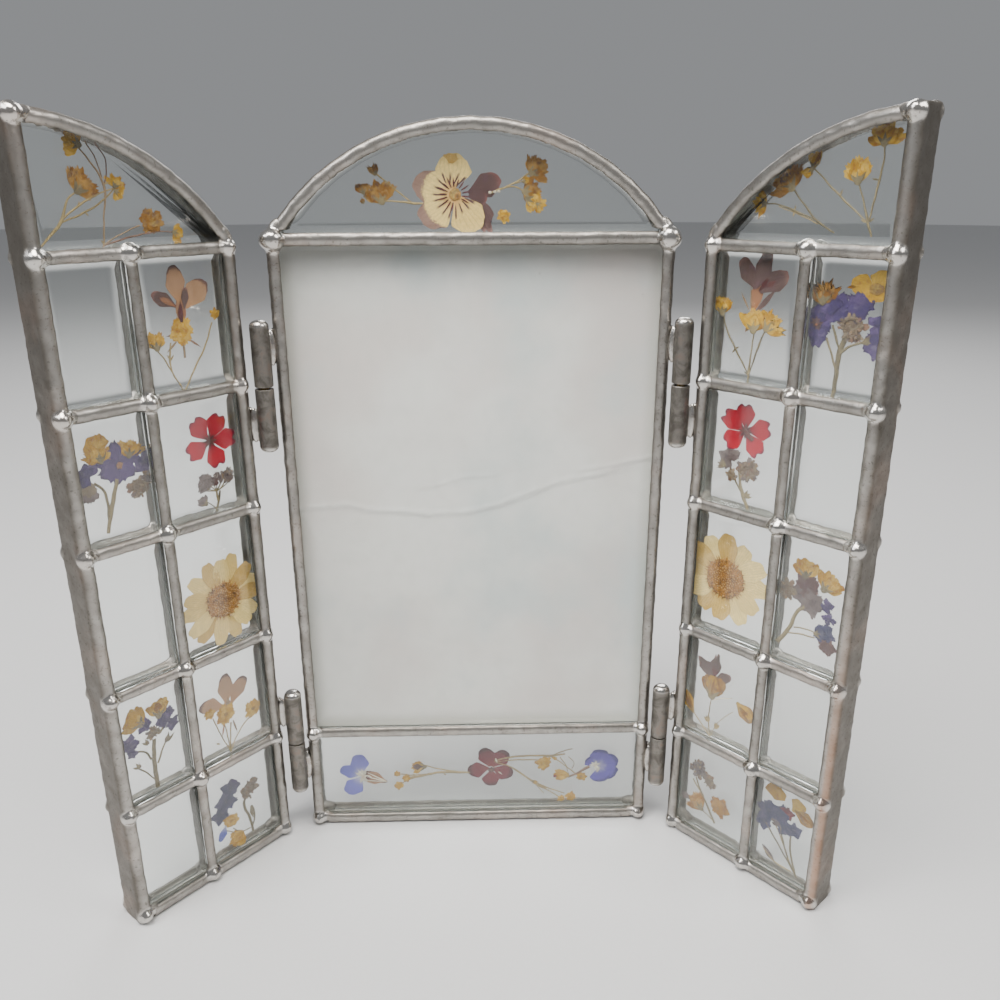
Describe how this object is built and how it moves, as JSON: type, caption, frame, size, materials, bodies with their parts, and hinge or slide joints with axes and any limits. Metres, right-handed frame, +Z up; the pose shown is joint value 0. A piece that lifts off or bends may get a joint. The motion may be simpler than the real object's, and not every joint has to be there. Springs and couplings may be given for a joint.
{
  "type": "pressed flower frame",
  "caption": "Standing three-leaf frame of soldered metal and glass: an arched centre for a picture and two hinged side leaves, with pressed flowers sealed between glass panes.",
  "frame": {"origin": "middle of the centre leaf's underside", "axes": "+Z up, the front faces -Y, +X to the right of a viewer in front"},
  "size_m": [0.1776, 0.0475, 0.1834],
  "materials": {
    "solder": "tarnished tin solder over metal came, satin grey-brown with brighter crowns",
    "solder_balls": "bright rounded solder drops",
    "barrels": "tinned hinge tube with dull patches",
    "pins": "plain drawn wire",
    "pane_glass": "clear with a faint green edge",
    "flower_panes": "two clear sheets with pressed flowers between",
    "pressed_flowers": "dry matt petals, stems and seed heads",
    "paper": "matt, creased and mottled",
    "card": "matt grey-brown board"
  },
  "bodies": {
    "center_leaf": {"backing_card": "card", "center_arch": "solder", "center_bottom_rail": "solder", "center_lower_rail": "solder", "center_stile_left": "solder", "center_stile_right": "solder", "center_top_rail": "solder", "left_lower_barrel_frame": "barrels", "left_lower_hinge_pin": "pins", "left_upper_barrel_frame": "barrels", "left_upper_hinge_pin": "pins", "lower_glass_back": "pane_glass", "lower_glass_front": "pane_glass", "lunette_glass_back": "pane_glass", "lunette_glass_front": "pane_glass", "picture_glass": "pane_glass", "picture_paper": "paper", "right_lower_barrel_frame": "barrels", "right_lower_hinge_pin": "pins", "right_upper_barrel_frame": "barrels", "right_upper_hinge_pin": "pins"},
    "left_door": {"left_door_arch": "solder", "left_door_bottom_rail": "solder", "left_door_inner_stile": "solder", "left_door_lattice": "solder", "left_door_outer_stile": "solder", "left_lower_barrel_door": "barrels", "left_pane_1_inner": "flower_panes", "left_pane_1_outer": "flower_panes", "left_pane_2_inner": "flower_panes", "left_pane_2_outer": "flower_panes", "left_pane_3_inner": "flower_panes", "left_pane_3_outer": "flower_panes", "left_pane_4_inner": "flower_panes", "left_pane_4_outer": "flower_panes", "left_pane_5_inner": "flower_panes", "left_pane_5_outer": "flower_panes", "left_pane_arch": "flower_panes", "left_upper_barrel_door": "barrels"},
    "right_door": {"right_door_arch": "solder", "right_door_bottom_rail": "solder", "right_door_inner_stile": "solder", "right_door_lattice": "solder", "right_door_outer_stile": "solder", "right_lower_barrel_door": "barrels", "right_pane_1_inner": "flower_panes", "right_pane_1_outer": "flower_panes", "right_pane_2_inner": "flower_panes", "right_pane_2_outer": "flower_panes", "right_pane_3_inner": "flower_panes", "right_pane_3_outer": "flower_panes", "right_pane_4_inner": "flower_panes", "right_pane_4_outer": "flower_panes", "right_pane_5_inner": "flower_panes", "right_pane_5_outer": "flower_panes", "right_pane_arch": "flower_panes", "right_upper_barrel_door": "barrels"}
  },
  "joints": [
    {"name": "left_hinge", "type": "hinge", "parent": "center_leaf", "child": "left_door", "pos_m": [-0.0485, -0.0065, 0], "axis": [0, 0, 1], "range_deg": [-60, 131]},
    {"name": "right_hinge", "type": "hinge", "parent": "center_leaf", "child": "right_door", "pos_m": [0.0485, -0.0065, 0], "axis": [0, 0, -1], "range_deg": [-60, 131]}
  ]
}
